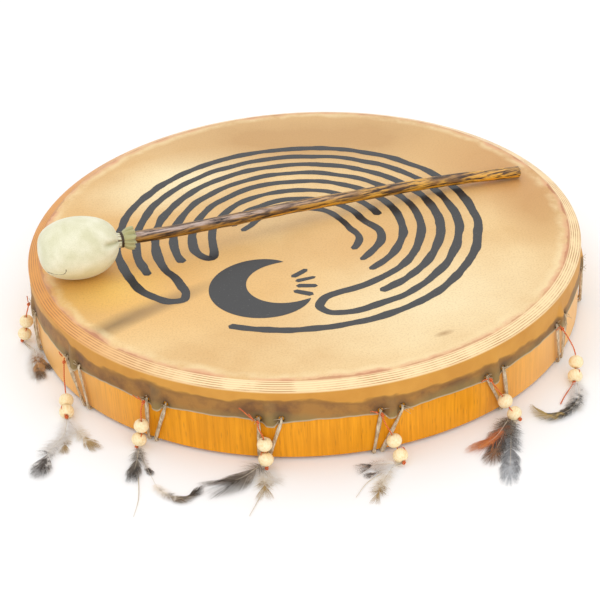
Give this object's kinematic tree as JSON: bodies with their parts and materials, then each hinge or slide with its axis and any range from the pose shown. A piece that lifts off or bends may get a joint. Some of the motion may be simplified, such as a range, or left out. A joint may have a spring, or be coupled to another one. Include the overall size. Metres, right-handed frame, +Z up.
{
  "type": "frame drum",
  "caption": "Round hand drum with a laced rawhide head on a bent wooden hoop, a hand ring behind, bead-and-feather charms and a padded beater.",
  "frame": {"origin": "on the surface that the drum stands on, under the centre of the hoop", "axes": "+Z up through the head, along the hoop's axis; the charms hang round the -Y side, and the beater's ball lies towards -X"},
  "size_m": [0.4752, 0.5216, 0.1193],
  "materials": {
    "hoop_wood": "clear-finished bent hardwood ply",
    "rawhide_skin": "scraped translucent rawhide, semi-gloss",
    "rawhide_lace": "dried rawhide thong",
    "ring_wire": "bare wire",
    "stick_bark": "peeled branch with strips of dark bark",
    "wool_stuffing": "packed wool",
    "suede": "sage-coloured suede",
    "sinew": "dark waxed sinew",
    "waxed_thread": "rust-coloured waxed thread",
    "bead_wood": "pale turned wood, waxed",
    "feather_pale": "soft down",
    "feather_dark": "barred dark vane",
    "drum_paint": "satin charcoal paint on the head"
  },
  "bodies": {
    "drum": {"hoop_ply_1": "hoop_wood", "hoop_ply_2": "hoop_wood", "hoop_ply_3": "hoop_wood", "hoop_ply_4": "hoop_wood", "hoop_ply_5": "hoop_wood", "rawhide_head": "rawhide_skin", "rawhide_skirt": "rawhide_skin", "skirt_tucks": "rawhide_skin", "wall_lacing": "rawhide_lace", "rim_lacing": "rawhide_lace", "back_lacing": "rawhide_lace", "hand_ring": "ring_wire", "ring_wrap": "rawhide_lace", "ring_hitches": "rawhide_lace"},
    "beater": {"beater_stick": "stick_bark", "beater_padding": "wool_stuffing", "beater_cover": "suede", "beater_tie": "sinew"},
    "charm_1": {"charm_1_thread": "waxed_thread", "charm_1_upper_bead": "bead_wood", "charm_1_lower_bead": "bead_wood", "charm_1_feather_a": "feather_pale", "charm_1_feather_b": "feather_dark"},
    "charm_2": {"charm_2_thread": "waxed_thread", "charm_2_upper_bead": "bead_wood", "charm_2_lower_bead": "bead_wood", "charm_2_feather_a": "feather_pale", "charm_2_feather_b": "feather_dark"},
    "charm_3": {"charm_3_thread": "waxed_thread", "charm_3_upper_bead": "bead_wood", "charm_3_lower_bead": "bead_wood", "charm_3_feather_a": "feather_pale", "charm_3_feather_b": "feather_dark"},
    "charm_4": {"charm_4_thread": "waxed_thread", "charm_4_upper_bead": "bead_wood", "charm_4_lower_bead": "bead_wood", "charm_4_feather_a": "feather_pale", "charm_4_feather_b": "feather_dark"},
    "charm_5": {"charm_5_thread": "waxed_thread", "charm_5_upper_bead": "bead_wood", "charm_5_lower_bead": "bead_wood", "charm_5_feather_a": "feather_pale", "charm_5_feather_b": "feather_dark"},
    "charm_6": {"charm_6_thread": "waxed_thread", "charm_6_upper_bead": "bead_wood", "charm_6_lower_bead": "bead_wood", "charm_6_feather_a": "feather_pale", "charm_6_feather_b": "feather_dark"},
    "charm_7": {"charm_7_thread": "waxed_thread", "charm_7_upper_bead": "bead_wood", "charm_7_lower_bead": "bead_wood", "charm_7_feather_a": "feather_pale", "charm_7_feather_b": "feather_dark"}
  },
  "joints": [
    {"name": "beater_lift", "type": "slide", "parent": "drum", "child": "beater", "axis": [0, 0, 1], "range_m": [0, 0.25]},
    {"name": "charm_1_swing", "type": "hinge", "parent": "drum", "child": "charm_1", "pos_m": [-0.22767, -0.05047, 0.039], "axis": [-0.2164, 0.9763, 0], "range_deg": [0, 75]},
    {"name": "charm_2_swing", "type": "hinge", "parent": "drum", "child": "charm_2", "pos_m": [-0.19103, -0.13376, 0.039], "axis": [-0.5736, 0.8192, 0], "range_deg": [0, 75]},
    {"name": "charm_3_swing", "type": "hinge", "parent": "drum", "child": "charm_3", "pos_m": [-0.1253, -0.19668, 0.039], "axis": [-0.8434, 0.5373, 0], "range_deg": [0, 75]},
    {"name": "charm_4_swing", "type": "hinge", "parent": "drum", "child": "charm_4", "pos_m": [-0.0405, -0.22966, 0.039], "axis": [-0.9848, 0.1736, 0], "range_deg": [0, 75]},
    {"name": "charm_5_swing", "type": "hinge", "parent": "drum", "child": "charm_5", "pos_m": [0.05047, -0.22767, 0.039], "axis": [-0.9763, -0.2164, 0], "range_deg": [0, 75]},
    {"name": "charm_6_swing", "type": "hinge", "parent": "drum", "child": "charm_6", "pos_m": [0.13376, -0.19103, 0.039], "axis": [-0.8192, -0.5736, 0], "range_deg": [0, 75]},
    {"name": "charm_7_swing", "type": "hinge", "parent": "drum", "child": "charm_7", "pos_m": [0.19668, -0.1253, 0.039], "axis": [-0.5373, -0.8434, 0], "range_deg": [0, 75]}
  ]
}
